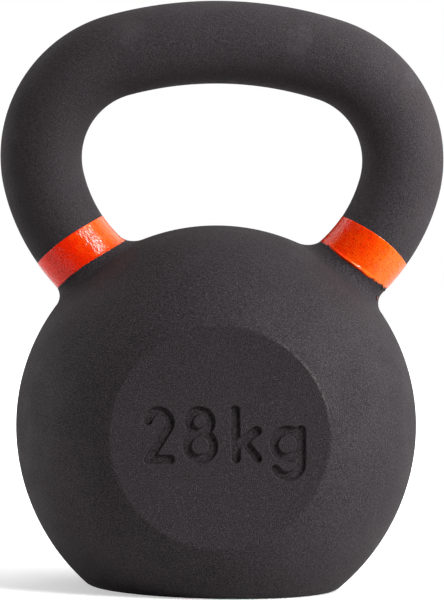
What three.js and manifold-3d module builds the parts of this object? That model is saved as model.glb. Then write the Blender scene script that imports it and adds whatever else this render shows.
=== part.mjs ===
// A 28 kg cast iron kettlebell: a ball with a flat base and two flat faces, an arched handle
// whose horns grow out of the ball, and an enamel band round each horn.
// Millimetres, +Z up, +X to the right of someone facing the marked flat, which looks along -Y.
// The origin is the centre of the base, on the surface that the kettlebell stands on.
// The casting is two nodes, the bell and the handle, that meet under the bands.
import * as THREE from "three";
import { mergeVertices } from "three/addons/utils/BufferGeometryUtils.js";
import Module from "manifold-3d";

// ---- Driving dimensions ----

// The ball and its base.
const BALL_DIAMETER = 191.5;
const BASE_DIAMETER = 119.2; // where the side of the ball would meet the base plane
const BASE_EDGE_RADIUS = 3;
const LOWER_SIDE_EXTRA_RADIUS = 5.8; // the side below the equator is this much less curved than the ball
const LOWER_SIDE_START = THREE.MathUtils.degToRad(5); // how far below the equator that begins

// The flat faces at the front and the back.
const DEPTH_OVER_FLATS = 162;
const FLAT_EDGE_RADIUS = 2.5;

// The handle.
const HANDLE_WIDTH = 211.9;
const WINDOW_HEIGHT = 67.7; // from the top of the ball to the underside of the grip
const GRIP_DIAMETER = 39.5; // at the middle of the grip
const HORN_DIAMETER = 38.4; // at the bands
const GRIP_ARC_RADIUS = 178.2;
const CORNER_ARC_RADIUS = 50.2;
const CORNER_LEAN = THREE.MathUtils.degToRad(14.5); // how far past vertical the corner turns
const HORN_ARC_RADIUS = 83; // from the corner down to the ball
const HORN_ROOT_RADIUS = 6; // fillet between horn and ball

// The enamel bands.
const BAND_WIDTH = 17.7;
const BAND_HEIGHT_ABOVE_BALL = 3; // from the ball to the band's lower edge, along the horn
const BAND_PROUD = 0.4;
const BAND_THICKNESS = 1.2;

// The weight mark.
const MARK_CAP_HEIGHT = 26.5;
const MARK_STROKE = 4.3;
const MARK_DEPTH = 1.8;
const MARK_TILT = THREE.MathUtils.degToRad(2);
const MARK_OFFSET_X = 2;
const MARK_OFFSET_Z = 1;
const MARK_GAP = 7.7; // between the facing middle lines of two characters
const MARK_WORD_GAP = 10.3; // the same, between the number and its unit
// The widths of the characters, between the middle lines of their outermost strokes.
const MARK_TWO_WIDTH = 10.2;
const MARK_TWO_ARCH_END = THREE.MathUtils.degToRad(170);
const MARK_EIGHT_WIDTH = 12.2;
const MARK_K_WIDTH = 9.8;
const MARK_K_WAIST = 5.6; // where the arm leaves the stem
const MARK_K_LEG_SHARE = 0.35; // where the leg leaves the arm
const MARK_BOWL_DIAMETER = 12.6; // also the height of the small letters
const MARK_G_DROP = 2.2; // from the baseline to the middle of the tail's arc
const MARK_G_TAIL_START = THREE.MathUtils.degToRad(210);

const CLEARANCE = 0.3; // between the nodes

// Facets.
const BALL_SEGMENTS = 60;
const BALL_SIDE_STEPS = 30;
const HORN_SIDES = 36;
const HANDLE_STEPS = 54;
const BAND_STEPS = 4;
const HORN_PLAIN_STEPS = 1;
const HORN_ROOT_STEPS = 5;
const HORN_ROOT_SWEEP = THREE.MathUtils.degToRad(75); // how much of the fillet's quarter turn is drawn
const EDGE_STEPS = 3;
const MARK_CURVE_STEPS = 5;
const TANGENT_STEP = 0.01;
const OVERSHOOT = 3; // how far a solid that joins or cuts runs past the surface that it meets

// ---- Sizes that follow ----

const ballRadius = BALL_DIAMETER / 2;
const baseRadius = BASE_DIAMETER / 2;
const hornRadius = HORN_DIAMETER / 2;
const gripRadius = GRIP_DIAMETER / 2;
const seatRadius = hornRadius + BAND_PROUD - BAND_THICKNESS - CLEARANCE;

// The lower side is an arc tangent to the ball, and it sets the height of the ball's centre.
const lowerSideRadius = ballRadius + LOWER_SIDE_EXTRA_RADIUS;
const lowerCentreX = -LOWER_SIDE_EXTRA_RADIUS * Math.cos(LOWER_SIDE_START);
const lowerCentreHeight = Math.sqrt(lowerSideRadius ** 2 - (baseRadius - lowerCentreX) ** 2);
const ballCentreHeight = lowerCentreHeight - LOWER_SIDE_EXTRA_RADIUS * Math.sin(LOWER_SIDE_START);
const ballTop = ballCentreHeight + ballRadius;
const ballCentre = new THREE.Vector3(0, 0, ballCentreHeight);
const flatDistance = DEPTH_OVER_FLATS / 2;

// The handle's centreline on the +X side is a wide arc over the grip, a tight arc round the
// corner and a slack arc down the horn, each tangent to the one before, until it meets the
// ball. A turn is an angle round an arc, clockwise from straight up.
const gripTopHeight = ballTop + WINDOW_HEIGHT + gripRadius;
const gripCentre = new THREE.Vector2(0, gripTopHeight - GRIP_ARC_RADIUS);
const cornerCentreX = HANDLE_WIDTH / 2 - (gripRadius + hornRadius) / 2 - CORNER_ARC_RADIUS;
const gripTurn = Math.asin(cornerCentreX / (GRIP_ARC_RADIUS - CORNER_ARC_RADIUS));
const cornerCentre = pointOnArc(gripCentre, GRIP_ARC_RADIUS - CORNER_ARC_RADIUS, gripTurn);
const cornerEndTurn = Math.PI / 2 + CORNER_LEAN;
const hornCentre = pointOnArc(cornerCentre, CORNER_ARC_RADIUS - HORN_ARC_RADIUS, cornerEndTurn);
const footTurn = hornFootTurn();

// The arcs, each with the length along the centreline where it starts, from the middle of the
// grip.
const cornerStart = GRIP_ARC_RADIUS * gripTurn;
const hornStart = cornerStart + CORNER_ARC_RADIUS * (cornerEndTurn - gripTurn);
const arcs = [
  { centre: gripCentre, radius: GRIP_ARC_RADIUS, turn: 0, start: 0 },
  { centre: cornerCentre, radius: CORNER_ARC_RADIUS, turn: gripTurn, start: cornerStart },
  { centre: hornCentre, radius: HORN_ARC_RADIUS, turn: cornerEndTurn, start: hornStart },
];

const footLength = hornStart + HORN_ARC_RADIUS * (footTurn - cornerEndTurn);
const bandBottom = footLength - BAND_HEIGHT_ABOVE_BALL;
const bandTop = bandBottom - BAND_WIDTH;
const bandMiddle = (bandTop + bandBottom) / 2;

function pointOnArc(centre, radius, turn) {
  return new THREE.Vector2(centre.x + radius * Math.sin(turn), centre.y + radius * Math.cos(turn));
}

// The turn at which the horn's arc meets the ball: the outer of the two places where the
// arc's circle crosses the ball's.
function hornFootTurn() {
  const ballCentre2d = new THREE.Vector2(0, ballCentreHeight);
  const between = hornCentre.clone().sub(ballCentre2d);
  const gap = between.length();
  const cosine = (gap ** 2 + ballRadius ** 2 - HORN_ARC_RADIUS ** 2) / (2 * gap * ballRadius);
  const spread = Math.atan2(between.x, between.y) + Math.acos(cosine);
  const foot = pointOnArc(ballCentre2d, ballRadius, spread).sub(hornCentre);
  return Math.atan2(foot.x, foot.y);
}

// ---- The handle's centreline ----

// A point of the centreline, at a distance along it from the middle of the grip, positive on
// the +X side.
function centrelinePoint(distance) {
  const along = Math.abs(distance);
  const arc = arcs.findLast(({ start }) => along >= start);
  const point = pointOnArc(arc.centre, arc.radius, arc.turn + (along - arc.start) / arc.radius);
  return new THREE.Vector3(Math.sign(distance) * point.x, 0, point.y);
}

// The direction of the centreline, away from the middle of the grip.
function centrelineTangent(distance) {
  const ahead = distance + Math.sign(distance) * TANGENT_STEP;
  return centrelinePoint(ahead).sub(centrelinePoint(distance)).normalize();
}

// The stretch of the centreline between two distances.
class CentrelineStretch extends THREE.Curve {
  constructor(from, to) {
    super();
    this.from = from;
    this.to = to;
  }
  getPoint(t, target = new THREE.Vector3()) {
    return target.copy(centrelinePoint(THREE.MathUtils.lerp(this.from, this.to, t)));
  }
}

// How much thicker than a horn the handle is at a distance along it.
function gripSwell(distance) {
  const share = Math.min(Math.abs(distance) / bandTop, 1);
  return (gripRadius - hornRadius) * (1 - share ** 2);
}

// Makes a vertex stand out further from the middle of its ring, to suit the handle's taper.
function thicken(vertex, centre, distance) {
  const radius = vertex.distanceTo(centre) + gripSwell(distance);
  vertex.sub(centre).setLength(radius).add(centre);
}

// A section swept along a stretch of the centreline in equal steps. Each vertex is then moved
// by reshape, which is given the middle of the vertex's ring and its distance along the line.
function sweptSection(section, from, to, steps, reshape) {
  const path = new CentrelineStretch(from, to);
  const geometry = new THREE.ExtrudeGeometry(section, {
    steps,
    curveSegments: HORN_SIDES / 2,
    extrudePath: path,
    bevelEnabled: false,
  });
  const centres = path.getSpacedPoints(steps);
  const position = geometry.getAttribute("position");
  const vertex = new THREE.Vector3();
  for (let i = 0; i < position.count; i += 1) {
    vertex.fromBufferAttribute(position, i);
    const gaps = centres.map((centre) => centre.distanceTo(vertex));
    const ring = gaps.indexOf(Math.min(...gaps));
    reshape(vertex, centres[ring], THREE.MathUtils.lerp(from, to, ring / steps), ring);
    position.setXYZ(i, vertex.x, vertex.y, vertex.z);
  }
  return geometry;
}

function disc(radius, x = 0, y = 0) {
  return new THREE.Shape().absarc(x, y, radius, 0, 2 * Math.PI);
}

function annulus(innerRadius, outerRadius, x = 0, y = 0) {
  const shape = disc(outerRadius, x, y);
  shape.holes.push(new THREE.Path().absarc(x, y, innerRadius, 0, 2 * Math.PI, true));
  return shape;
}

// ---- Joins and cuts ----

const wasm = await Module();
wasm.setup();

function solidOf(geometry) {
  const bare = geometry.index ? geometry.toNonIndexed() : geometry.clone();
  bare.deleteAttribute("normal");
  bare.deleteAttribute("uv");
  const merged = mergeVertices(bare, 1e-3);
  return new wasm.Manifold(
    new wasm.Mesh({
      numProp: 3,
      vertProperties: merged.getAttribute("position").array,
      triVerts: new Uint32Array(merged.index.array),
    }),
  );
}

function geometryOf(solid) {
  const mesh = solid.getMesh();
  const geometry = new THREE.BufferGeometry();
  geometry.setAttribute("position", new THREE.BufferAttribute(mesh.vertProperties, 3));
  geometry.setIndex(new THREE.BufferAttribute(mesh.triVerts, 1));
  geometry.computeVertexNormals();
  return geometry;
}

// ---- Outlines for turning ----

// Points along an arc, from one angle to another, the ends included.
function arcPoints(centreX, centreY, radius, fromAngle, toAngle, steps) {
  const points = [];
  for (let i = 0; i <= steps; i += 1) {
    const angle = THREE.MathUtils.lerp(fromAngle, toAngle, i / steps);
    points.push(new THREE.Vector2(centreX + radius * Math.cos(angle), centreY + radius * Math.sin(angle)));
  }
  return points;
}

// The ball's outline, from the middle of the base up to the top: base, base edge, lower side
// and ball.
function ballOutline() {
  const edgeHeight = lowerCentreHeight - BASE_EDGE_RADIUS;
  const edgeReach = lowerSideRadius - BASE_EDGE_RADIUS;
  const edgeCentreX = lowerCentreX + Math.sqrt(edgeReach ** 2 - edgeHeight ** 2);
  const edgeAngle = Math.asin(-edgeHeight / edgeReach);
  const sideAngle = Math.PI / 2 + LOWER_SIDE_START;
  const lowerSteps = Math.round((BALL_SIDE_STEPS * (-LOWER_SIDE_START - edgeAngle)) / sideAngle / 2);
  const lower = arcPoints(
    lowerCentreX, lowerCentreHeight, lowerSideRadius, edgeAngle, -LOWER_SIDE_START, lowerSteps,
  );
  const upper = arcPoints(
    0, ballCentreHeight, ballRadius, -LOWER_SIDE_START, Math.PI / 2, BALL_SIDE_STEPS - lowerSteps,
  );
  upper[upper.length - 1].x = 0;
  return [
    new THREE.Vector2(0, 0),
    ...arcPoints(edgeCentreX, BASE_EDGE_RADIUS, BASE_EDGE_RADIUS, -Math.PI / 2, edgeAngle, EDGE_STEPS),
    ...lower.slice(1),
    ...upper.slice(1),
  ];
}

// The drum that leaves the flats on the ball, as an outline about its axle: a flat, a soft
// edge tangent to the ball, a rim clear of the ball, and the same again mirrored.
function drumOutline() {
  const edgeHeight = flatDistance - FLAT_EDGE_RADIUS;
  const edgeReach = ballRadius - FLAT_EDGE_RADIUS;
  const edgeCentreX = Math.sqrt(edgeReach ** 2 - edgeHeight ** 2);
  const edgeAngle = Math.asin(edgeHeight / edgeReach);
  const edge = arcPoints(edgeCentreX, edgeHeight, FLAT_EDGE_RADIUS, edgeAngle, Math.PI / 2, EDGE_STEPS);
  const rimRadius = ballRadius + OVERSHOOT;
  const rimHeight = (ballRadius - rimRadius * Math.cos(edgeAngle)) / Math.sin(edgeAngle);
  const half = [new THREE.Vector2(rimRadius, rimHeight), ...edge, new THREE.Vector2(0, flatDistance)];
  const mirrored = half.map((point) => new THREE.Vector2(point.x, -point.y));
  return [...mirrored.reverse(), ...half];
}

// ---- The weight mark ----

// A stroke is a flat outline as wide as the mark's stroke, with round ends. Its place is that
// of its middle line, from the left end of the baseline.
function straightStroke(x0, y0, x1, y1) {
  const angle = Math.atan2(y1 - y0, x1 - x0);
  const shape = new THREE.Shape();
  shape.absarc(x1, y1, MARK_STROKE / 2, angle - Math.PI / 2, angle + Math.PI / 2);
  shape.absarc(x0, y0, MARK_STROKE / 2, angle + Math.PI / 2, angle + (3 * Math.PI) / 2);
  return shape;
}

function curvedStroke(x, y, radius, fromAngle, toAngle) {
  const endX = x + radius * Math.cos(toAngle);
  const endY = y + radius * Math.sin(toAngle);
  const startX = x + radius * Math.cos(fromAngle);
  const startY = y + radius * Math.sin(fromAngle);
  const shape = new THREE.Shape();
  shape.absarc(x, y, radius + MARK_STROKE / 2, fromAngle, toAngle);
  shape.absarc(endX, endY, MARK_STROKE / 2, toAngle, toAngle + Math.PI);
  shape.absarc(x, y, radius - MARK_STROKE / 2, toAngle, fromAngle, true);
  shape.absarc(startX, startY, MARK_STROKE / 2, fromAngle + Math.PI, fromAngle + 2 * Math.PI);
  return shape;
}

function roundStroke(x, y, radius) {
  return annulus(radius - MARK_STROKE / 2, radius + MARK_STROKE / 2, x, y);
}

// The height of a capital or a digit between the middle lines of its top and bottom strokes.
const markLine = MARK_CAP_HEIGHT - MARK_STROKE;

// Each character gives its width between middle lines and its strokes, for a left edge at x.
function digitTwo(x) {
  const radius = MARK_TWO_WIDTH / 2;
  const archY = markLine - radius;
  const reach = Math.hypot(radius, archY);
  const neckAngle = Math.atan2(-archY, -radius) + Math.acos(radius / reach);
  const neckX = x + radius + radius * Math.cos(neckAngle);
  const neckY = archY + radius * Math.sin(neckAngle);
  const strokes = [
    curvedStroke(x + radius, archY, radius, neckAngle, MARK_TWO_ARCH_END),
    straightStroke(neckX, neckY, x, 0),
    straightStroke(x, 0, x + MARK_TWO_WIDTH, 0),
  ];
  return { width: MARK_TWO_WIDTH, strokes };
}

function digitEight(x) {
  const lowerRadius = MARK_EIGHT_WIDTH / 2;
  const upperRadius = markLine / 2 - lowerRadius;
  const strokes = [
    roundStroke(x + lowerRadius, lowerRadius, lowerRadius),
    roundStroke(x + lowerRadius, markLine - upperRadius, upperRadius),
  ];
  return { width: MARK_EIGHT_WIDTH, strokes };
}

function letterK(x) {
  const armSlope = (MARK_BOWL_DIAMETER - MARK_K_WAIST) / MARK_K_WIDTH;
  const legX = MARK_K_WIDTH * MARK_K_LEG_SHARE;
  const strokes = [
    straightStroke(x, 0, x, markLine),
    straightStroke(x, MARK_K_WAIST, x + MARK_K_WIDTH, MARK_BOWL_DIAMETER),
    straightStroke(x + legX, MARK_K_WAIST + armSlope * legX, x + MARK_K_WIDTH, 0),
  ];
  return { width: MARK_K_WIDTH, strokes };
}

function letterG(x) {
  const radius = MARK_BOWL_DIAMETER / 2;
  const stemX = x + MARK_BOWL_DIAMETER;
  const strokes = [
    roundStroke(x + radius, radius, radius),
    straightStroke(stemX, MARK_BOWL_DIAMETER, stemX, -MARK_G_DROP),
    curvedStroke(x + radius, -MARK_G_DROP, radius, MARK_G_TAIL_START, 2 * Math.PI),
  ];
  return { width: MARK_BOWL_DIAMETER, strokes };
}

// The strokes of the whole mark, and the distance between its first and last middle lines.
function markStrokes() {
  const strokes = [];
  let length = 0;
  for (const [gapBefore, character] of [
    [0, digitTwo],
    [MARK_GAP, digitEight],
    [MARK_WORD_GAP, letterK],
    [MARK_GAP, letterG],
  ]) {
    const drawn = character(length + gapBefore);
    strokes.push(...drawn.strokes);
    length += gapBefore + drawn.width;
  }
  return { strokes, length };
}

// The solid that cuts the mark into the front flat.
function markSolid() {
  const { strokes, length } = markStrokes();
  const placed = new THREE.Matrix4()
    .makeTranslation(MARK_OFFSET_X, -(flatDistance - MARK_DEPTH), ballCentreHeight + MARK_OFFSET_Z)
    .multiply(new THREE.Matrix4().makeRotationX(Math.PI / 2))
    .multiply(new THREE.Matrix4().makeRotationZ(MARK_TILT))
    .multiply(new THREE.Matrix4().makeTranslation(-length / 2, -markLine / 2, 0));
  return strokes
    .map((shape) => {
      const depth = MARK_DEPTH + OVERSHOOT;
      const settings = { depth, curveSegments: MARK_CURVE_STEPS, bevelEnabled: false };
      return solidOf(new THREE.ExtrudeGeometry(shape, settings).applyMatrix4(placed));
    })
    .reduce((joined, stroke) => joined.add(stroke));
}

// ---- The nodes ----

// The groove that a band lies in.
function bandSeatSolid(side) {
  const section = annulus(seatRadius, hornRadius + OVERSHOOT);
  const from = side * (bandTop - CLEARANCE);
  const to = side * (bandBottom + CLEARANCE);
  return solidOf(sweptSection(section, from, to, BAND_STEPS, thicken));
}

// A horn, from the middle of its band down to the ball. Its last rings follow the surface of
// the ball and spread into a fillet, and the very last is buried.
function hornSolid(side) {
  const from = side * (bandMiddle + CLEARANCE / 2);
  const to = side * footLength;
  const spread = (vertex, centre, distance, ring) => {
    const filletRing = Math.min(ring - HORN_PLAIN_STEPS, HORN_ROOT_STEPS);
    if (filletRing < 0) return;
    const angle = (HORN_ROOT_SWEEP * filletRing) / HORN_ROOT_STEPS;
    const buried = ring > HORN_PLAIN_STEPS + HORN_ROOT_STEPS;
    const height = buried ? -OVERSHOOT : HORN_ROOT_RADIUS * (1 - Math.sin(angle));
    const radius = hornRadius + HORN_ROOT_RADIUS * (1 - Math.cos(angle));
    vertex.sub(centre).setLength(radius).add(centre);
    moveToHeight(vertex, centrelineTangent(distance), height);
  };
  const steps = HORN_PLAIN_STEPS + HORN_ROOT_STEPS + 1;
  return solidOf(sweptSection(disc(hornRadius), from, to, steps, spread));
}

// Slides a point along an axis until it is at a height above the surface of the ball.
function moveToHeight(point, axis, height) {
  for (let pass = 0; pass < 4; pass += 1) {
    const outward = point.clone().sub(ballCentre);
    const missing = ballRadius + height - outward.length();
    point.addScaledVector(axis, missing / axis.dot(outward.normalize()));
  }
}

function bellGeometry() {
  const ball = new THREE.LatheGeometry(ballOutline(), BALL_SEGMENTS).rotateX(Math.PI / 2);
  const drum = new THREE.LatheGeometry(drumOutline(), BALL_SEGMENTS).translate(0, 0, ballCentreHeight);
  const solid = solidOf(ball)
    .intersect(solidOf(drum))
    .add(hornSolid(1))
    .add(hornSolid(-1))
    .subtract(bandSeatSolid(1))
    .subtract(bandSeatSolid(-1))
    .subtract(markSolid());
  return geometryOf(solid);
}

function handleGeometry() {
  const end = bandMiddle - CLEARANCE / 2;
  const solid = solidOf(sweptSection(disc(hornRadius), -end, end, HANDLE_STEPS, thicken))
    .subtract(bandSeatSolid(1))
    .subtract(bandSeatSolid(-1));
  return geometryOf(solid);
}

function bandGeometry(side) {
  const section = annulus(seatRadius + CLEARANCE, hornRadius + BAND_PROUD);
  return sweptSection(section, side * bandTop, side * bandBottom, BAND_STEPS, thicken);
}

const powderCoat = { color: "#3b3839", roughness: 0.62, metalness: 0.0 };
const enamel = { color: "#f03a10", roughness: 0.25, metalness: 0.0 };

function namedMesh(name, geometry, finish) {
  const mesh = new THREE.Mesh(geometry, new THREE.MeshStandardMaterial(finish));
  mesh.name = name;
  return mesh;
}

const kettlebell = new THREE.Group();
kettlebell.add(
  namedMesh("bell", bellGeometry(), powderCoat),
  namedMesh("handle", handleGeometry(), powderCoat),
  namedMesh("left_band", bandGeometry(-1), enamel),
  namedMesh("right_band", bandGeometry(1), enamel),
);

export default kettlebell;
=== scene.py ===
"""A 28 kg kettlebell: a powder coated iron casting with an enamel band round each horn.

The fine surface is one smooth field, worked out in millimetres: the ball with its flats and
base, the handle's tube, and the fillets between them. The bell's mesh is wrapped on that
field, the handle and the bands are swept along the handle's centreline and settled on it.
"""
import math

import bmesh
import bpy
import numpy as np
from mathutils import Matrix, Vector


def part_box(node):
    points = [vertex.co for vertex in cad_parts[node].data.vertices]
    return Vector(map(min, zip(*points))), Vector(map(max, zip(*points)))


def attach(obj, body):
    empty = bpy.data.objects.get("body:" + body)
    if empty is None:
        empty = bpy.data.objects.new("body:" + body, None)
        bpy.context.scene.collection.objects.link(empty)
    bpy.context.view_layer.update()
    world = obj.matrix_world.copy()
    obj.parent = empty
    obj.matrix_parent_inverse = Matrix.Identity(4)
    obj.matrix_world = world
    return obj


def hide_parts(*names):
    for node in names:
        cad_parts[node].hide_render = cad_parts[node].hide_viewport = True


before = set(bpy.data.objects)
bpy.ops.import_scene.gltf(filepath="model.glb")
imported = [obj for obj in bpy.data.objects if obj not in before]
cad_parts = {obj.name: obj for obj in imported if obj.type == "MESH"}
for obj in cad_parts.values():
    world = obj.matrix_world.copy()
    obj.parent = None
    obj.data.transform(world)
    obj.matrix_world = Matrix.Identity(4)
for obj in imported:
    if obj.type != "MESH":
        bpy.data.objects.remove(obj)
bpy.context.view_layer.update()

METRES = 0.001  # one millimetre

# ---- Sizes read from the frame, in millimetres ----


def node_box(node):
    low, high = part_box(node)
    return np.array(low) / METRES, np.array(high) / METRES


bell_low, bell_high = node_box("bell")
handle_high = node_box("handle")[1]
BALL_RADIUS = bell_high[0]
BALL_CENTRE_Z = bell_high[2] - BALL_RADIUS
FLAT_DISTANCE = bell_high[1]
FLAT_RADIUS = math.sqrt(BALL_RADIUS**2 - FLAT_DISTANCE**2)
GRIP_RADIUS = handle_high[1]
HANDLE_HALF_WIDTH = handle_high[0]
GRIP_TOP_Z = handle_high[2] - GRIP_RADIUS

# ---- Sizes of the curves between them, in millimetres ----

LOWER_SIDE_EXTRA_RADIUS = 5.8
LOWER_SIDE_START = math.radians(5)
HORN_RADIUS = 19.2
GRIP_ARC_RADIUS = 178.2
CORNER_ARC_RADIUS = 50.2
CORNER_LEAN = math.radians(14.5)
HORN_ARC_RADIUS = 83.0
HORN_ROOT_RADIUS = 6.0
HORN_RUN_ON = 0.5  # how far the horn's arc turns on inside the ball, in radians
BASE_EDGE_ROUNDING = 1.1
FLAT_EDGE_ROUNDING = 0.45
BAND_WIDTH = 17.7
BAND_HEIGHT_ABOVE_BALL = 3.0

# The weight mark.
MARK_CAP_HEIGHT = 26.5
MARK_STROKE = 4.3
MARK_DEPTH = 1.8
MARK_WALL = 0.45  # width of a wall, seen from the front
MARK_TILT = math.radians(2)
MARK_OFFSET = (2.0, 1.0)
MARK_GAP = 3.4
MARK_WORD_GAP = 6.0
MARK_TWO_WIDTH = 10.2
MARK_TWO_ARCH_END = math.radians(170)
MARK_EIGHT_WIDTH = 12.2
MARK_K_WIDTH = 9.8
MARK_K_WAIST = 5.6
MARK_K_LEG_SHARE = 0.35
MARK_BOWL_DIAMETER = 12.6
MARK_G_DROP = 2.2
MARK_G_TAIL_START = math.radians(210)
ON_FLAT = 0.05  # a point this near the front flat's plane lies on the flat

# Mesh fineness.
BELL_GRID = 1.8
FINE_REACH = 0.75  # how far from a fine shape the fine grid goes, in cells of the bell's grid
FINE_CUTS = 5
EVENING_PASSES = 6
EVENING_SHARE = 0.6
HANDLE_RING_STEP = 1.3
TUBE_SIDES = 112
BAND_ROWS = 44
BAND_INNER_ROWS = 8
BAND_SIDES = 360
CURL_SIDES = 6
CURL_STEPS = 24

# ---- The handle's centreline, on the +X side, in the XZ plane ----

grip_centre = np.array([0.0, GRIP_TOP_Z - GRIP_ARC_RADIUS])
side_radius = (GRIP_RADIUS + HORN_RADIUS) / 2
corner_x = HANDLE_HALF_WIDTH - side_radius - CORNER_ARC_RADIUS
grip_turn = math.asin(corner_x / (GRIP_ARC_RADIUS - CORNER_ARC_RADIUS))
corner_rise = (GRIP_ARC_RADIUS - CORNER_ARC_RADIUS) * math.cos(grip_turn)
corner_centre = np.array([corner_x, grip_centre[1] + corner_rise])
corner_end_turn = math.pi / 2 + CORNER_LEAN
corner_reach = np.array([math.sin(corner_end_turn), math.cos(corner_end_turn)])
horn_centre = corner_centre - (HORN_ARC_RADIUS - CORNER_ARC_RADIUS) * corner_reach


def horn_foot_turn():
    """The turn at which the horn's arc meets the ball."""
    x, z = horn_centre - (0.0, BALL_CENTRE_Z)
    distance = math.hypot(x, z)
    opening = BALL_RADIUS**2 - distance**2 - HORN_ARC_RADIUS**2
    return math.atan2(x, z) + math.acos(opening / (2 * distance * HORN_ARC_RADIUS))


foot_turn = horn_foot_turn()

grip_half_length = GRIP_ARC_RADIUS * grip_turn
corner_end_length = grip_half_length + CORNER_ARC_RADIUS * (corner_end_turn - grip_turn)
foot_length = corner_end_length + HORN_ARC_RADIUS * (foot_turn - corner_end_turn)
band_bottom = foot_length - BAND_HEIGHT_ABOVE_BALL
band_top = band_bottom - BAND_WIDTH
band_middle = (band_top + band_bottom) / 2

# Each arc: its centre, its radius, the turn it starts at and the length it starts at.
ARCS = (
    (grip_centre, GRIP_ARC_RADIUS, 0.0, 0.0),
    (corner_centre, CORNER_ARC_RADIUS, grip_turn, grip_half_length),
    (horn_centre, HORN_ARC_RADIUS, corner_end_turn, corner_end_length),
)
ARC_ENDS = (grip_turn, corner_end_turn, foot_turn + HORN_RUN_ON)


def centreline(length):
    """Points (x, z) and outward directions of the centreline at these lengths, x >= 0."""
    length = np.asarray(length, float)
    point = np.zeros(length.shape + (2,))
    outward = np.zeros(length.shape + (2,))
    for centre, radius, turn, start in ARCS:
        here = length >= start
        angle = turn + (length[here] - start) / radius
        outward[here] = np.stack([np.sin(angle), np.cos(angle)], -1)
        point[here] = centre + radius * outward[here]
    return point, outward


def handle_radius(length):
    share = np.clip(np.abs(length) / band_top, 0, 1)
    return HORN_RADIUS + (GRIP_RADIUS - HORN_RADIUS) * (1 - share**2)


# ---- The surface as a field: negative inside, positive outside, in millimetres ----


def tube_field(p):
    """Distance to the handle's tube, which runs on into the ball."""
    x, z = np.abs(p[..., 0]), p[..., 2]
    gap = np.full(x.shape, np.inf)
    along = np.zeros(x.shape)
    for (centre, radius, turn, start), end in zip(ARCS, ARC_ENDS):
        dx, dz = x - centre[0], z - centre[1]
        angle = np.clip(np.arctan2(dx, dz), turn, end)
        near_x, near_z = radius * np.sin(angle), radius * np.cos(angle)
        here = np.hypot(dx - near_x, dz - near_z)
        closer = here < gap
        gap = np.where(closer, here, gap)
        along = np.where(closer, start + radius * (angle - turn), along)
    return np.hypot(gap, p[..., 1]) - handle_radius(along)


def round_union(a, b, radius):
    inner = np.hypot(np.maximum(radius - a, 0), np.maximum(radius - b, 0))
    return np.maximum(radius, np.minimum(a, b)) - inner


def round_intersection(a, b, radius):
    outer = np.hypot(np.maximum(radius + a, 0), np.maximum(radius + b, 0))
    return np.minimum(-radius, np.maximum(a, b)) + outer


lower_radius = BALL_RADIUS + LOWER_SIDE_EXTRA_RADIUS
lower_centre_r = -LOWER_SIDE_EXTRA_RADIUS * math.cos(LOWER_SIDE_START)
lower_centre_z = BALL_CENTRE_Z + LOWER_SIDE_EXTRA_RADIUS * math.sin(LOWER_SIDE_START)


def ball_field(p):
    """Distance to the ball, whose side is less curved below the equator."""
    r = np.hypot(p[..., 0], p[..., 1])
    z = p[..., 2]
    upper = np.hypot(r, z - BALL_CENTRE_Z) - BALL_RADIUS
    lower = np.hypot(r - lower_centre_r, z - lower_centre_z) - lower_radius
    below = np.arctan2(z - BALL_CENTRE_Z, r) < -LOWER_SIDE_START
    return np.where(below, lower, upper)


def body_field(p):
    """The ball with its base and its two flats."""
    past_flat = np.abs(p[..., 1]) - FLAT_DISTANCE
    field = round_intersection(ball_field(p), past_flat, FLAT_EDGE_ROUNDING)
    return round_intersection(field, -p[..., 2], BASE_EDGE_ROUNDING)


def casting_field(p):
    return round_union(body_field(p), tube_field(p), HORN_ROOT_RADIUS)


cut_point, cut_outward = (found[0] for found in centreline(np.array([band_middle])))
cut_normal = np.array([-cut_outward[1], cut_outward[0]])  # towards the grip


def bell_field(p):
    """The casting, less the handle above the middle of each band."""
    above = (np.abs(p[..., 0]) - cut_point[0]) * cut_normal[0]
    above = above + (p[..., 2] - cut_point[1]) * cut_normal[1]
    return round_union(body_field(p), np.maximum(tube_field(p), above), HORN_ROOT_RADIUS)


def gradient(field, p, step=0.02):
    result = np.empty_like(p)
    for axis in range(3):
        offset = np.zeros(3)
        offset[axis] = step
        result[..., axis] = field(p + offset) - field(p - offset)
    return result / np.maximum(np.linalg.norm(result, axis=-1, keepdims=True), 1e-9)


def settle(field, p, level=0.0, passes=4, most=2.0):
    """Moves points straight towards the surface where the field equals level."""
    for _ in range(passes):
        step = np.clip(level - field(p), -most, most)
        p = p + step[..., None] * gradient(field, p)
    return p


# ---- A quad mesh wrapped on a field ----


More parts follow.
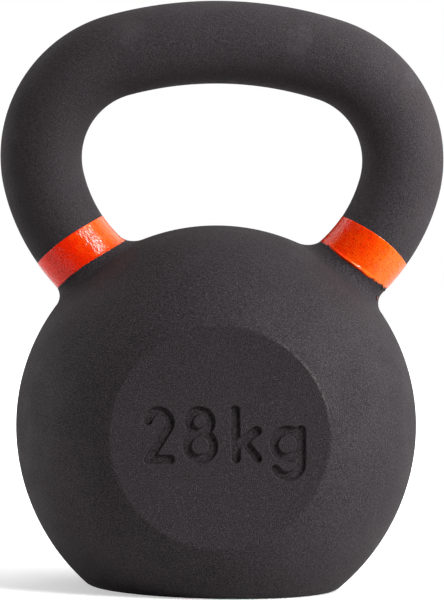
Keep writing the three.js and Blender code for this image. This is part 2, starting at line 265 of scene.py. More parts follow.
def wrap(field, low, high, pitch):
    """Surface nets: one vertex in each grid cell that the surface crosses."""
    counts = np.ceil((high - low) / pitch).astype(int) + 1
    axes = [low[i] + pitch * np.arange(counts[i]) for i in range(3)]
    values = np.empty(counts)
    for i, x in enumerate(axes[0]):
        y, z = np.meshgrid(axes[1], axes[2], indexing="ij")
        values[i] = field(np.stack([np.full_like(y, x), y, z], -1))
    inside = values < 0
    cells = tuple(counts - 1)
    total = np.zeros(cells + (3,))
    crossings = np.zeros(cells, int)

    def corner(array, dx, dy, dz):
        """The array's value at one corner of every cell."""
        return array[dx : dx + cells[0], dy : dy + cells[1], dz : dz + cells[2]]

    for axis in range(3):
        others = [a for a in range(3) if a != axis]
        for first in (0, 1):
            for second in (0, 1):
                start = [0, 0, 0]
                start[others[0]], start[others[1]] = first, second
                end = list(start)
                end[axis] = 1
                a, b = corner(values, *start), corner(values, *end)
                crossed = corner(inside, *start) != corner(inside, *end)
                share = np.where(crossed, a / np.where(crossed, a - b, 1), 0)
                for i in range(3):
                    place = share if i == axis else start[i]
                    total[..., i] += np.where(crossed, place, 0)
                crossings += crossed
    used = crossings > 0
    index = np.full(cells, -1)
    index[used] = np.arange(used.sum())
    where = np.argwhere(used)
    points = low + pitch * (where + total[used] / crossings[used][:, None])
    quads = []
    for axis in range(3):
        b, c = (axis + 1) % 3, (axis + 2) % 3
        upper = np.roll(inside, -1, axis)
        crossed = inside != upper
        at = np.argwhere(crossed[1:-1, 1:-1, 1:-1]) + 1
        step_b, step_c = np.eye(3, dtype=int)[b], np.eye(3, dtype=int)[c]
        ring = [at - step_b - step_c, at - step_c, at, at - step_b]
        quad = np.stack([index[tuple(v.T)] for v in ring], 1)
        outwards = inside[tuple(at.T)]
        quad[~outwards] = quad[~outwards][:, ::-1]
        quads.append(quad)
    return points, np.concatenate(quads)


def even_out(field, points, quads, passes):
    """Evens the mesh along the surface, and settles it on the surface again."""
    edges = np.concatenate([quads[:, [i, (i + 1) % 4]] for i in range(4)])
    for _ in range(passes):
        total = np.zeros_like(points)
        np.add.at(total, edges[:, 0], points[edges[:, 1]])
        np.add.at(total, edges[:, 1], points[edges[:, 0]])
        count = np.bincount(edges.ravel(), minlength=len(points))[:, None]
        middle = total / count
        normal = gradient(field, points)
        shift = middle - points
        shift -= (shift * normal).sum(-1, keepdims=True) * normal
        points = settle(field, points + EVENING_SHARE * shift, passes=1)
    return settle(field, points)


# ---- The weight mark, as a depth over the front flat ----


def line_gap(u, v, x0, y0, x1, y1):
    dx, dy = x1 - x0, y1 - y0
    share = np.clip(((u - x0) * dx + (v - y0) * dy) / (dx * dx + dy * dy), 0, 1)
    return np.hypot(u - x0 - share * dx, v - y0 - share * dy)


def ring_gap(u, v, x, y, radius):
    return np.abs(np.hypot(u - x, v - y) - radius)


def arc_gap(u, v, x, y, radius, start, end):
    angle = np.arctan2(v - y, u - x)
    past_start = np.mod(angle - start, 2 * math.pi)
    ends = [
        np.hypot(u - x - radius * math.cos(a), v - y - radius * math.sin(a)) for a in (start, end)
    ]
    on_arc = past_start <= end - start
    return np.where(on_arc, ring_gap(u, v, x, y, radius), np.minimum(*ends))


mark_line = MARK_CAP_HEIGHT - MARK_STROKE


def digit_two(u, v):
    radius = MARK_TWO_WIDTH / 2
    arch_y = mark_line - radius
    neck = math.atan2(-arch_y, -radius) + math.acos(radius / math.hypot(radius, arch_y))
    neck_x, neck_y = radius + radius * math.cos(neck), arch_y + radius * math.sin(neck)
    return [
        arc_gap(u, v, radius, arch_y, radius, neck, MARK_TWO_ARCH_END),
        line_gap(u, v, neck_x, neck_y, 0, 0),
        line_gap(u, v, 0, 0, MARK_TWO_WIDTH, 0),
    ]


def digit_eight(u, v):
    lower = MARK_EIGHT_WIDTH / 2
    upper = mark_line / 2 - lower
    return [
        ring_gap(u, v, lower, lower, lower),
        ring_gap(u, v, lower, mark_line - upper, upper),
    ]


def letter_k(u, v):
    slope = (MARK_BOWL_DIAMETER - MARK_K_WAIST) / MARK_K_WIDTH
    leg_x = MARK_K_WIDTH * MARK_K_LEG_SHARE
    return [
        line_gap(u, v, 0, 0, 0, mark_line),
        line_gap(u, v, 0, MARK_K_WAIST, MARK_K_WIDTH, MARK_BOWL_DIAMETER),
        line_gap(u, v, leg_x, MARK_K_WAIST + slope * leg_x, MARK_K_WIDTH, 0),
    ]


def letter_g(u, v):
    radius = MARK_BOWL_DIAMETER / 2
    return [
        ring_gap(u, v, radius, radius, radius),
        line_gap(u, v, 2 * radius, 2 * radius, 2 * radius, -MARK_G_DROP),
        arc_gap(u, v, radius, -MARK_G_DROP, radius, MARK_G_TAIL_START, 2 * math.pi),
    ]


# Each character with its width between middle lines and the gap after it.
CHARACTERS = (
    (digit_two, MARK_TWO_WIDTH, MARK_GAP),
    (digit_eight, MARK_EIGHT_WIDTH, MARK_WORD_GAP),
    (letter_k, MARK_K_WIDTH, MARK_GAP),
    (letter_g, MARK_BOWL_DIAMETER, 0.0),
)
mark_length = sum(width for _, width, _ in CHARACTERS)
mark_length += sum(MARK_STROKE + gap for _, _, gap in CHARACTERS[:-1])


def mark_gap(p):
    """Distance from the middle line of the nearest stroke, in the plane of the flat."""
    x = p[..., 0] - MARK_OFFSET[0]
    y = p[..., 2] - BALL_CENTRE_Z - MARK_OFFSET[1]
    cos, sin = math.cos(MARK_TILT), math.sin(MARK_TILT)
    u = x * cos + y * sin + mark_length / 2
    v = y * cos - x * sin + mark_line / 2
    gaps = []
    left = 0.0
    for character, width, gap in CHARACTERS:
        gaps += character(u - left, v)
        left += width + MARK_STROKE + gap
    return np.minimum.reduce(gaps)


def mark_depth(p):
    share = np.clip(((MARK_STROKE + MARK_WALL) / 2 - mark_gap(p)) / MARK_WALL, 0, 1)
    return MARK_DEPTH * share * share * (3 - 2 * share)


def mark_normals(p, step=0.05):
    """Directions out of the marked flat, from the slope of the mark's depth."""
    normals = np.tile([0.0, -1.0, 0.0], (len(p), 1))
    for axis in (0, 2):
        offset = np.zeros(3)
        offset[axis] = step
        normals[:, axis] = (mark_depth(p + offset) - mark_depth(p - offset)) / (2 * step)
    return normals / np.linalg.norm(normals, axis=1, keepdims=True)


# ---- Meshes ----


def make_piece(name, points, faces, normals=None):
    mesh = bpy.data.meshes.new(name)
    mesh.from_pydata((points * METRES).tolist(), [], [list(map(int, f)) for f in faces])
    mesh.update()
    mesh.shade_smooth()
    if normals is not None:
        mesh.normals_split_custom_set_from_vertices(normals.tolist())
    piece = bpy.data.objects.new(name, mesh)
    bpy.context.scene.collection.objects.link(piece)
    return piece


def on_front_flat(p):
    return p[:, 1] < -FLAT_DISTANCE + ON_FLAT


def refine(points, quads):
    """Divides the quads at the mark's strokes and at the front flat's edge more finely."""
    mesh = bmesh.new()
    verts = [mesh.verts.new(p) for p in points]
    for quad in quads:
        mesh.faces.new([verts[i] for i in quad])
    mesh.faces.ensure_lookup_table()
    middles = points[quads].mean(1)
    reach = FINE_REACH * BELL_GRID
    fine = on_front_flat(middles) & (mark_gap(middles) < (MARK_STROKE + MARK_WALL) / 2 + reach)
    fine |= np.hypot(ball_field(middles), middles[:, 1] + FLAT_DISTANCE) < reach
    edges = {edge for i in np.flatnonzero(fine) for edge in mesh.faces[i].edges}
    bmesh.ops.subdivide_edges(mesh, edges=list(edges), cuts=FINE_CUTS, use_grid_fill=True)
    mesh.verts.index_update()
    new_points = np.array([v.co[:] for v in mesh.verts])
    new_faces = [[v.index for v in face.verts] for face in mesh.faces]
    mesh.free()
    return new_points, new_faces


def make_bell():
    margin = 3 * BELL_GRID
    points, quads = wrap(bell_field, bell_low - margin, bell_high + margin, BELL_GRID)
    points = settle(bell_field, points)
    points = even_out(bell_field, points, quads, EVENING_PASSES)
    points, faces = refine(points, quads)
    points = settle(bell_field, points)
    depth = np.where(on_front_flat(points), mark_depth(points), 0)
    normals = gradient(bell_field, points)
    normals = np.where((depth > 0)[:, None], mark_normals(points), normals)
    points[:, 1] += depth
    curls = [curl(*numbers) for numbers in CURLS]
    points, faces = joined([(points, faces)] + [drawn[:2] for drawn in curls])
    normals = np.concatenate([normals] + [drawn[2] for drawn in curls])
    return make_piece("bell_casting", points, faces, normals)


def tube_points(lengths, angles, side):
    """Grid of points on the handle's tube, and the directions out of it."""
    point, outward = centreline(lengths)
    radius = handle_radius(lengths)
    reach_out = np.cos(angles)
    reach_front = np.sin(angles)
    x = point[..., 0] + radius * outward[..., 0] * reach_out
    z = point[..., 1] + radius * outward[..., 1] * reach_out
    y = -radius * reach_front
    return np.stack([side * x, y, z], -1)


def grid_faces(rows, columns, flip, closed=False):
    """Quads of a grid that closes on itself along its columns, and if closed its rows too."""
    strips = rows if closed else rows - 1
    row, column = np.meshgrid(np.arange(strips), np.arange(columns), indexing="ij")
    next_row, following = (row + 1) % rows, (column + 1) % columns
    corners = [
        row * columns + column,
        row * columns + following,
        next_row * columns + following,
        next_row * columns + column,
    ]
    faces = np.stack(corners, -1).reshape(-1, 4)
    return faces[:, ::-1] if flip else faces


def make_handle():
    rings = int(2 * band_middle / HANDLE_RING_STEP) + 1
    signed = np.linspace(-band_middle, band_middle, rings)
    angles = np.linspace(0, 2 * math.pi, TUBE_SIDES, endpoint=False)
    lengths, turns = np.meshgrid(signed, angles, indexing="ij")
    points = tube_points(np.abs(lengths), turns, np.where(lengths < 0, -1.0, 1.0))
    points = points.reshape(-1, 3)
    normals = gradient(tube_field, points)
    faces = grid_faces(rings, TUBE_SIDES, flip=False).tolist()
    faces.append(list(reversed(range(TUBE_SIDES))))
    last = (rings - 1) * TUBE_SIDES
    faces.append([last + i for i in range(TUBE_SIDES)])
    return make_piece("handle_casting", points, faces, normals)


# Where each band's edges lie, in millimetres down the horn from the frame's band. The lean
# lowers the outer side, and the bulge raises the front. A chip is a notch in the lower edge:
# its turn round the horn from the outer side, its width in degrees and its depth. A bead of
# paint runs along the lower edge: its height, the turn of its middle and how far it reaches.
BAND_EDGES = {
    "left_band": {
        "side": -1,
        "bead": (0.1, 30, 40),
        "top": (2.9, 0.6, 1.7),
        "bottom": (2.5, -3.9, 2.8),
        "rag": {"top": 0.06, "bottom": 0.12},
        "chips": (),
    },
    "right_band": {
        "side": 1,
        "bead": (0.5, 95, 34),
        "top": (-0.5, 0.9, 2.3),
        "bottom": (-1.4, -3.3, 0.1),
        "rag": {"top": 0.07, "bottom": 0.3},
        "chips": (
            (144, 2.2, 1.1),
            (139, 1.5, 0.5),
            (58, 2.5, 0.4),
            (49, 2.0, 0.5),
            (41, 1.5, 0.3),
            (25, 1.5, 0.6),
            (17, 2.0, 1.0),
            (6, 2.5, 0.7),
            (-8, 3.0, 0.8),
        ),
    },
}
PAINT_THICKNESS = 0.11
PAINT_EDGE = 0.8
BEAD_INSET = 0.9  # the bead where the paint has run down to the lower edge
BEAD_WIDTH = 0.75
PAINT_ROOT = 0.12  # how far the paint's edge starts below the iron
PAINT_BACK = 0.45  # how far below the iron the back of each band lies

# Specks of stray paint below the right band: how far down the horn from the frame's band, the
# turn round the horn and the radius.
SPECKS = ((-3.1, 9, 0.35), (0.3, 20, 0.62), (1.3, 17, 0.3))

# Curls of loose coat at the lower edge of the right band: the turns round the horn and the
# distances down the horn of the two ends, and how far the middle bows up.
CURLS = (
    ((46, 27), (-2.9, -3.0), 1.9),
    ((29, 8), (-3.9, -3.8), 0.5),
    ((28, 25), (-0.3, 2.4), 0.4),
)
CURL_RADIUS = 0.19
CURL_HEIGHT = 0.3
CURL_END_RADIUS_SHARE = 0.35
CURL_END_HEIGHT_SHARE = 0.4
WAVE_COUNTS = range(3, 40)  # waves round the horn that make up a ragged edge
SPECK_RINGS = 4
SPECK_SIDES = 12
SPECK_TOP_SHARE = 0.15  # the innermost ring's radius, as a share of the speck's


def waves(angles, seed):
    """A smooth random line round the horn, about one millimetre high at most."""
    random = np.random.default_rng(seed)
    total = np.zeros_like(angles)
    for k in WAVE_COUNTS:
        size, phase = random.normal() / math.sqrt(k), random.uniform(0, 2 * math.pi)
        total += size * np.cos(k * angles + phase)
    return total / 3


def edge_line(edges, which, base, angles, seed):
    offset, lean, bulge = edges[which]
    front = np.maximum(np.sin(angles), 0) ** 2
    line = base + offset + lean * np.cos(angles) - bulge * front
    line = line + edges["rag"][which] * waves(angles, seed)
    if which == "bottom":
        for turn, width, depth in edges["chips"]:
            away = np.degrees(np.angle(np.exp(1j * (angles - math.radians(turn)))))
            line = line - depth * np.exp(-((away / width) ** 2))
    return line


def speck(down, turn, radius):
    """A small drop of paint on the iron, as rings round its middle."""
    rings, sides = SPECK_RINGS, SPECK_SIDES
    around = np.linspace(0, 2 * math.pi, sides, endpoint=False)
    reach = np.linspace(1, SPECK_TOP_SHARE, rings)[:, None]
    lengths = band_bottom + down + reach * radius * np.sin(around)
    turns = math.radians(turn) + reach * radius / HORN_RADIUS * np.cos(around)
    points = settle(casting_field, tube_points(lengths, turns, 1).reshape(-1, 3))
    level = -PAINT_ROOT + (PAINT_THICKNESS + PAINT_ROOT) * np.sqrt(1 - reach**2)
    level = np.broadcast_to(level, lengths.shape).reshape(-1, 1)
    points = points + level * gradient(casting_field, points)
    faces = grid_faces(rings, sides, flip=True).tolist()
    faces.append([(rings - 1) * sides + i for i in range(sides)])
    faces.append(list(reversed(range(sides))))
    return points, faces


def curl(turns, downs, bow):
    """A thin curl of coat that lies over the edge of the paint."""
    share = np.linspace(0, 1, CURL_STEPS)
    arch = np.sin(math.pi * share)
    turn = np.radians(turns[0] + share * (turns[1] - turns[0]))
    length = band_bottom + downs[0] + share * (downs[1] - downs[0]) - bow * arch
    middle = settle(casting_field, tube_points(length, turn, 1))
    up = gradient(casting_field, middle)
    height = CURL_HEIGHT * (CURL_END_HEIGHT_SHARE + (1 - CURL_END_HEIGHT_SHARE) * arch)
    middle = middle + height[:, None] * up
    ahead = np.gradient(middle, axis=0)
    across = np.cross(ahead, up)
    across /= np.linalg.norm(across, axis=1, keepdims=True)
    fullness = CURL_END_RADIUS_SHARE + (1 - CURL_END_RADIUS_SHARE) * np.sqrt(arch)
    radius = CURL_RADIUS * fullness[:, None, None]
    around = np.linspace(0, 2 * math.pi, CURL_SIDES, endpoint=False)[None, :, None]
    ring = np.cos(around) * up[:, None] + np.sin(around) * across[:, None]
    ring = np.broadcast_to(ring, (CURL_STEPS, CURL_SIDES, 3))
    points = (middle[:, None] + radius * ring).reshape(-1, 3)
    faces = grid_faces(CURL_STEPS, CURL_SIDES, flip=False).tolist()
    faces.append(list(reversed(range(CURL_SIDES))))
    faces.append([(CURL_STEPS - 1) * CURL_SIDES + i for i in range(CURL_SIDES)])
    return points, faces, ring.reshape(-1, 3)


def joined(parts):
    """One list of points and one of faces from several."""
    points, faces, start = [], [], 0
    for part_points, part_faces in parts:
        points.append(part_points)
        faces.extend([start + int(i) for i in face] for face in part_faces)
        start += len(part_points)
    return np.concatenate(points), faces


def make_band(name, edges, seed):
    angles = np.linspace(0, 2 * math.pi, BAND_SIDES, endpoint=False)
    top = edge_line(edges, "top", band_top, angles, seed)
    bottom = edge_line(edges, "bottom", band_bottom, angles, seed + 1)
    share = np.linspace(0, 1, BAND_ROWS)[:, None]
    share = 0.5 - 0.5 * np.cos(math.pi * share)
    lengths = top + share * (bottom - top)
    turns = np.broadcast_to(angles, lengths.shape)
    points = tube_points(lengths, turns, edges["side"]).reshape(-1, 3)
    points = settle(casting_field, points)
    inset = np.minimum(lengths - top, bottom - lengths).reshape(-1)
    rise = np.sqrt(np.clip(1 - (1 - np.clip(inset / PAINT_EDGE, 0, 1)) ** 2, 0, 1))
    bead_place = ((bottom - lengths).reshape(-1) - BEAD_INSET) / BEAD_WIDTH
    height, middle, spread = edges["bead"]
    bead_turn = (np.degrees(turns.reshape(-1)) - middle) / spread
    bead = height * np.exp(-(bead_place**2) - bead_turn**2)
    level = -PAINT_ROOT + (PAINT_THICKNESS + PAINT_ROOT + bead) * rise
    points = points + level[:, None] * gradient(casting_field, points)
    inner_lengths = bottom + np.linspace(0, 1, BAND_INNER_ROWS)[:, None] * (top - bottom)
    inner_turns = np.broadcast_to(angles, inner_lengths.shape)
    inner = tube_points(inner_lengths, inner_turns, edges["side"]).reshape(-1, 3)
    inner = settle(casting_field, inner)
    inner = inner - PAINT_BACK * gradient(casting_field, inner)
    rows = BAND_ROWS + BAND_INNER_ROWS
    faces = grid_faces(rows, BAND_SIDES, flip=edges["side"] < 0, closed=True)
    parts = [(np.concatenate([points, inner]), faces)]
    if edges["side"] > 0:
        parts += [speck(*numbers) for numbers in SPECKS]
    return make_piece(name + "_enamel", *joined(parts))


bell = make_bell()
handle = make_handle()
bands = [make_band(name, edges, 10 * i) for i, (name, edges) in enumerate(BAND_EDGES.items())]

# ---- Materials ----

# The casting has one coat all over. The handle's colour is painted about two and a half times as
# light as the bell's, and a little greener: painted light on the handle.
BELL_COAT_COLOUR = (0.0136, 0.0102, 0.0120)
HANDLE_LIT_COAT_COLOUR = (0.0347, 0.0279, 0.0309)
BELL_GRAIN = 0.42  # how strongly the grain shows
HANDLE_GRAIN = 0.34
GRAIN_COLOUR = (0.085, 0.072, 0.081, 1)
FLECK_COLOUR = (0.10, 0.09, 0.10, 1)
SCUFF_COLOUR = (0.075, 0.068, 0.073, 1)
# The colour of a painted highlight on the bell's front flat edge.
EDGE_HIGHLIGHT_COLOUR = (0.10, 0.09, 0.09, 1)
BLACK = (0, 0, 0, 1)
COAT_SPECULAR = 0.19
COAT_ROUGHNESS = (0.70, 0.82)

# One enamel in two shades: the red is painted shade and the orange painted light, mixed by which
# way a face turns and which band it is on, with some random brushed variation.
ENAMEL_SHADED_RED = (0.91, 0.02, 0.0012, 1)
ENAMEL_LIT_ORANGE = (0.88, 0.135, 0.003, 1)
PINHOLE_COLOUR = (0.5, 0.012, 0.002, 1)
ENAMEL_SPECULAR = 0.31
ENAMEL_ROUGHNESS = (0.05, 0.08)

# Fineness of each pattern, in noise cells per metre.
CLOUD_SCALE = 28
SHEEN_SCALE = 45
GRAIN_SCALE = 2100
FLECK_SCALE = 1700
SAND_SCALE = 1900
LUMP_SCALE = 600
SCUFF_OUTLINE_SCALE = 160
SCUFF_PATCH_SCALE = 420
EDGE_HIGHLIGHT_SCALE = 900
BRUSH_SCALE = 260
PINHOLE_SCALE = 1300
GLOSS_SCALE = 300
ORANGE_PEEL_SCALE = 1300
RIPPLE_SCALE = 420

# Heights of the bumps, in metres.
SAND_HEIGHT = 0.00025
LUMP_HEIGHT = 0.0003
ORANGE_PEEL_HEIGHT = 0.00023
RIPPLE_HEIGHT = 0.0001

# Where hands and racks have scuffed the handle's coat, in metres, and how far each scuff reaches.
SCUFFS = (
    ((-0.045, -0.017, 0.264), 0.011),
    ((0.035, -0.018, 0.265), 0.008),
    ((0.034, -0.0195, 0.257), 0.008),
    ((0.088, -0.012, 0.245), 0.010),
    ((-0.097, -0.010, 0.214), 0.008),
)
SCUFF_RAGGEDNESS = 0.014
PAINTED_SHADE_SIDE = (-0.095, 0.01)  # painted shade: the handle's coat is darkened from the first x to the second, on its left side, where less light falls
PAINTED_SHADE_SHARE = 0.24

# Where a highlight is painted on the front flat's edge, at the turn where the key light's highlight
# falls on its rounding: the turn round the flat, and how far it reaches.
EDGE_HIGHLIGHT_TURN = math.radians(37.7)
EDGE_HIGHLIGHT_REACH = (0.005, 0.032)
EDGE_HIGHLIGHT_WIDTH = (0.0001, 0.0009)
EDGE_HIGHLIGHT_MIDDLE = (
    math.cos(EDGE_HIGHLIGHT_TURN) * FLAT_RADIUS * METRES,
    -FLAT_DISTANCE * METRES,
    (BALL_CENTRE_Z + math.sin(EDGE_HIGHLIGHT_TURN) * FLAT_RADIUS) * METRES,
)


class Nodes:
    """Short ways to add nodes to a tree."""

    def __init__(self, tree):
        self.tree = tree

    def connect(self, node, inputs):
        """Sets a node's inputs, each to a number, a colour or another node's output."""
        for key, value in inputs.items():
            if isinstance(value, bpy.types.NodeSocket):
                self.tree.links.new(value, node.inputs[key])
            else:
                node.inputs[key].default_value = value

    def add(self, kind, output, inputs, **settings):
        node = self.tree.nodes.new("ShaderNode" + kind)
        for key, value in settings.items():
            setattr(node, key, value)
        self.connect(node, inputs)
        return node.outputs[output]

    def place(self):
        return self.add("TexCoord", "Object", {})

    def place_along(self, axis):
        return self.add("SeparateXYZ", axis, {"Vector": self.place()})

    def facing(self, axis):
        normal = self.add("TexCoord", "Normal", {})
        return self.add("SeparateXYZ", axis, {"Vector": normal})

    def camera_ray(self):
        return self.add("LightPath", "Is Camera Ray", {})

    def noise(self, scale, detail):
        inputs = {"Vector": self.place(), "Scale": scale, "Detail": detail}
        return self.add("TexNoise", "Fac", inputs)

    def ramp(self, value, low, high, start, end, shape="SMOOTHSTEP"):
        """Start where the value is low or less, end where it is high or more."""
        inputs = {"Value": value, "From Min": low, "From Max": high, "To Min": start, "To Max": end}
        return self.add("MapRange", "Result", inputs, interpolation_type=shape)

    def math(self, operation, a, b=0.0):
        return self.add("Math", "Value", {0: a, 1: b}, operation=operation)

    def mix(self, share, a, b):
        return self.add("Mix", 2, {0: share, 6: a, 7: b}, data_type="RGBA")

    def bump(self, height, distance, strength, over=None):
        inputs = {"Height": height, "Distance": distance, "Strength": strength}
        if over is not None:
            inputs["Normal"] = over
        return self.add("Bump", "Normal", inputs)

    def distance(self, middle):
        return self.add("VectorMath", "Value", {0: self.place(), 1: middle}, operation="DISTANCE")

    def distance_from_y_line(self, x, z):
        inputs = {0: self.place(), 1: (1, 0, 1)}
        flat = self.add("VectorMath", "Vector", inputs, operation="MULTIPLY")
        return self.add("VectorMath", "Value", {0: flat, 1: (x, 0, z)}, operation="DISTANCE")


def new_material(name):
    material = bpy.data.materials.new(name)
    material.use_nodes = True
    return material, Nodes(material.node_tree), material.node_tree.nodes["Principled BSDF"]


def scuffs_and_painted_left_shade(nodes, colour):
    """The coat's colour, paler at scuff marks, with painted shade on the handle's left side."""
    ragged = nodes.math("MULTIPLY", nodes.noise(SCUFF_OUTLINE_SCALE, 3), SCUFF_RAGGEDNESS)
    worn = 0.0
    for middle, reach in SCUFFS:
        away = nodes.math("ADD", nodes.distance(middle), ragged)
        core = SCUFF_RAGGEDNESS / 2
        near = nodes.ramp(away, core + 0.2 * reach, core + reach, 1, 0)
        worn = nodes.math("MAXIMUM", worn, near)
    patchy = nodes.ramp(nodes.noise(SCUFF_PATCH_SCALE, 2), 0.3, 0.6, 0.08, 0.3)
    worn = nodes.math("MULTIPLY", worn, patchy)
    # Painted shade: the handle's left side, where less light falls, is mixed towards black.
    painted_left_shade = nodes.ramp(nodes.place_along("X"), *PAINTED_SHADE_SIDE, PAINTED_SHADE_SHARE, 0)
    return nodes.mix(worn, nodes.mix(painted_left_shade, colour, BLACK), SCUFF_COLOUR)


def painted_edge_highlight(nodes, colour):
    """The coat's colour, with a painted highlight: bright points along the stretch of the front
    flat's edge that faces the key light.
    """
    from_axis = nodes.distance_from_y_line(0, BALL_CENTRE_Z * METRES)
    from_edge = nodes.math("ABSOLUTE", nodes.math("SUBTRACT", from_axis, FLAT_RADIUS * METRES))
    edge = nodes.ramp(from_edge, *EDGE_HIGHLIGHT_WIDTH, 1, 0)
    near = nodes.ramp(nodes.distance(EDGE_HIGHLIGHT_MIDDLE), *EDGE_HIGHLIGHT_REACH, 1, 0)
    points = nodes.ramp(nodes.noise(EDGE_HIGHLIGHT_SCALE, 1), 0.4, 0.65, 0.05, 0.9)
    share = nodes.math("MULTIPLY", nodes.math("MULTIPLY", edge, near), points)
    return nodes.mix(share, colour, EDGE_HIGHLIGHT_COLOUR)


def powder_coat(name, tone, grain, wear_and_painted_light):
    """Matt charcoal with a fine grain and pale flecks, over sandy bumps."""
    material, nodes, surface = new_material(name)
    pale = tuple(1.07 * c for c in tone) + (1,)
    deep = tuple(0.93 * c for c in tone) + (1,)
    base = nodes.mix(nodes.ramp(nodes.noise(CLOUD_SCALE, 3), 0.35, 0.65, 0, 1), deep, pale)
    colour = nodes.mix(
        nodes.ramp(nodes.noise(GRAIN_SCALE, 1.5), 0.32, 0.68, 0, 1),
        nodes.mix(1.15 * grain, base, BLACK),
        nodes.mix(grain, base, GRAIN_COLOUR),
    )
    fleck = nodes.ramp(nodes.noise(FLECK_SCALE, 0), 0.73, 0.78, 0, 0.55)
    # Real scuffs and painted shade on the handle, or a painted highlight on the bell's flat edge.
    colour = wear_and_painted_light(nodes, nodes.mix(fleck, colour, FLECK_COLOUR))
    sand = nodes.bump(nodes.noise(SAND_SCALE, 1), SAND_HEIGHT, 0.9)
    inputs = {
        "Base Color": colour,
        "Roughness": nodes.ramp(nodes.noise(SHEEN_SCALE, 3), 0.3, 0.7, *COAT_ROUGHNESS),
        "Specular IOR Level": COAT_SPECULAR,
        "Normal": nodes.bump(nodes.noise(LUMP_SCALE, 2), LUMP_HEIGHT, 0.6, over=sand),
    }
    nodes.connect(surface, inputs)
    return material


def enamel():
    """Glossy paint over an orange-peel surface, painted more orange where it faces the light and
    redder in shade.
    """
    material, nodes, surface = new_material("enamel")
    brushed = nodes.ramp(nodes.noise(BRUSH_SCALE, 3), 0.3, 0.7, -0.12, 0.12)
    # Painted light: faces turned to the right, towards the key light, are painted more orange.
    outer = nodes.ramp(nodes.facing("X"), -0.4, 0.8, 0, 1)
    # Painted light: the right band, on the lit side, is painted more orange and the left band
    # redder.
    right = nodes.ramp(nodes.place_along("X"), -0.06, 0.06, -0.24, 0.16)
    # How far the paint goes from the shaded red to the lit orange: painted light, with random
    # brushed variation.
    orange = nodes.math("ADD", nodes.math("ADD", outer, brushed), right)
    pinhole = nodes.ramp(nodes.noise(PINHOLE_SCALE, 1), 0.28, 0.42, 0.7, 0)
    ripple = nodes.bump(nodes.noise(RIPPLE_SCALE, 0), RIPPLE_HEIGHT, 1.0)
    peel = nodes.bump(nodes.noise(ORANGE_PEEL_SCALE, 0), ORANGE_PEEL_HEIGHT, 1.0, over=ripple)
    inputs = {
        "Base Color": nodes.mix(
            pinhole, nodes.mix(orange, ENAMEL_SHADED_RED, ENAMEL_LIT_ORANGE), PINHOLE_COLOUR
        ),
        "Roughness": nodes.ramp(nodes.noise(GLOSS_SCALE, 2), 0.3, 0.7, *ENAMEL_ROUGHNESS),
        "Specular IOR Level": ENAMEL_SPECULAR,
        "Normal": peel,
    }
    nodes.connect(surface, inputs)
    return material


# The bell's coat carries a painted highlight on the front flat's edge.
coat = powder_coat("powder_coat", BELL_COAT_COLOUR, BELL_GRAIN, painted_edge_highlight)
# The handle's coat is a lighter copy of the bell's: painted light.
lit_handle_coat = powder_coat("handle_lit_powder_coat", HANDLE_LIT_COAT_COLOUR, HANDLE_GRAIN, scuffs_and_painted_left_shade)
paint = enamel()
for piece, node, slot, finish in (
    (bell, "bell", "powder_coat", coat),
    (handle, "handle", "powder_coat", lit_handle_coat),
    (bands[0], "left_band", "enamel", paint),
    (bands[1], "right_band", "enamel", paint),
):
    piece.data.materials.append(finish)
    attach(piece, "root")
    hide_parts(node)

# ---- Floor, light and camera ----

FLOOR_HALF_WIDTH = 6.0
FLOOR_HEIGHT = -0.0001  # just below the base, so that the two don't lie in one plane
FLOOR_SHADE = 0.85
FLOOR_GLOW = (0.42, 1.0)  # to the camera, the floor fades into the white backdrop
FLOOR_FADE = (0.15, 0.9)
WHITE_FLOOR_FRONT = (-0.29, -0.25)  # the white floor's front edge, for the light it throws back
BOUNCE_SHADE = 0.75
DARK_SHADE = 0.03


def make_floor():
    """A white floor. It ends in front of the kettlebell, except to the camera."""
    half = FLOOR_HALF_WIDTH
    outline = ((-half, -half), (half, -half), (half, half), (-half, half))
    mesh = bpy.data.meshes.new("floor")
    mesh.from_pydata([(x, y, FLOOR_HEIGHT) for x, y in outline], [], [(0, 1, 2, 3)])
    material, nodes, surface = new_material("floor")
    seen = nodes.camera_ray()
    depth = nodes.place_along("Y")
    bounce = nodes.ramp(depth, *WHITE_FLOOR_FRONT, DARK_SHADE, BOUNCE_SHADE, shape="LINEAR")
    reach = nodes.distance((0, 0, 0))
    fade = nodes.ramp(reach, *FLOOR_FADE, *FLOOR_GLOW, shape="LINEAR")
    inputs = {
        "Base Color": nodes.ramp(seen, 0, 1, bounce, FLOOR_SHADE, shape="LINEAR"),
        "Roughness": 1.0,
        "Specular IOR Level": 0.0,
        "Emission Color": (1, 1, 1, 1),
        "Emission Strength": nodes.ramp(seen, 0, 1, 0, fade, shape="LINEAR"),
    }
    nodes.connect(surface, inputs)
    mesh.materials.append(material)
    floor = bpy.data.objects.new("floor", mesh)
    bpy.context.scene.collection.objects.link(floor)


def direction(azimuth, elevation):
    """The way to a place round the object: azimuth 0 is in front, 90 is to the right."""
    a, e = math.radians(azimuth), math.radians(elevation)
    return Vector((math.sin(a) * math.cos(e), -math.cos(a) * math.cos(e), math.sin(e)))


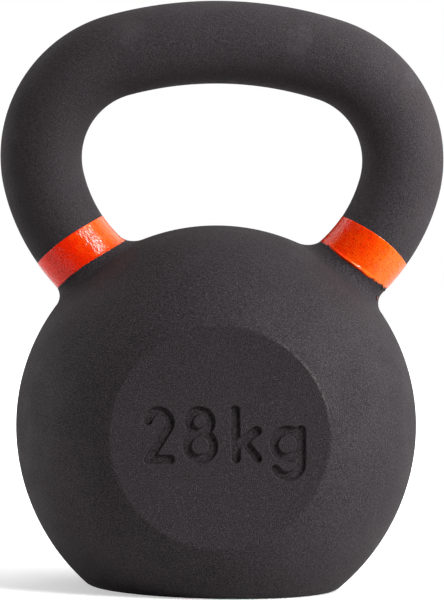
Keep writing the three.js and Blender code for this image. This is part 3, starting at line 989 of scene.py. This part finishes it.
# Each area light: its azimuth, elevation and distance, its width and height, and its power.
LIGHTS = {
    "key": (46, 32, 1.5, (0.4, 0.4), 26),
    "low_fill": (60, 10, 1.5, (0.45, 0.45), 2.76),
    "right_side": (80, 10, 1.5, (0.8, 1.0), 13),
    "left_side": (-75, 3, 1.5, (0.35, 0.8), 6.8),
    "left_back": (-120, 12, 1.5, (1.0, 0.9), 7.36),
    "left_back_high": (-135, 45, 1.5, (1.0, 1.0), 4.14),
    "right_back": (130, 40, 2.1, (3.2, 3.0), 48),
    "top": (0, 85, 1.5, (1.3, 1.3), 4.14),
}
LIGHT_TARGET = Vector((0, 0, 0.14))


def make_light(name, azimuth, elevation, distance, size, power):
    data = bpy.data.lights.new(name, "AREA")
    data.shape = "RECTANGLE"
    data.size, data.size_y = size
    data.energy = power
    light = bpy.data.objects.new(name, data)
    away = direction(azimuth, elevation)
    light.location = LIGHT_TARGET + away * distance
    light.rotation_mode = "QUATERNION"
    light.rotation_quaternion = away.to_track_quat("Z", "Y")
    light.visible_camera = False
    bpy.context.scene.collection.objects.link(light)


make_floor()
for name, numbers in LIGHTS.items():
    make_light(name, *numbers)

scene = bpy.context.scene
world = bpy.data.worlds.new("studio")
world.use_nodes = True
backdrop = world.node_tree.nodes["Background"]
world_nodes = Nodes(world.node_tree)
seen = world_nodes.camera_ray()
brightness = world_nodes.ramp(seen, 0, 1, 0, 1, shape="LINEAR")
world_nodes.connect(backdrop, {"Color": (1, 1, 1, 1), "Strength": brightness})
scene.world = world
scene.view_settings.view_transform = "Standard"

CAMERA_AZIMUTH = -1.36
CAMERA_ELEVATION = 1.95
CAMERA_ROLL = math.radians(1.3)
CAMERA_DISTANCE = 1.969
CAMERA_LENS = 246.9
CAMERA_TARGET = Vector((0.00146, 0, 0.1373))
camera_data = bpy.data.cameras.new("camera")
camera_data.lens = CAMERA_LENS
camera_data.sensor_width = 36
camera_data.clip_end = 50
camera = bpy.data.objects.new("camera", camera_data)
toward = direction(CAMERA_AZIMUTH, CAMERA_ELEVATION)
roll = Matrix.Rotation(CAMERA_ROLL, 3, "Z").to_quaternion()
camera.location = CAMERA_TARGET + toward * CAMERA_DISTANCE
camera.rotation_mode = "QUATERNION"
camera.rotation_quaternion = toward.to_track_quat("Z", "Y") @ roll
scene.collection.objects.link(camera)
scene.camera = camera
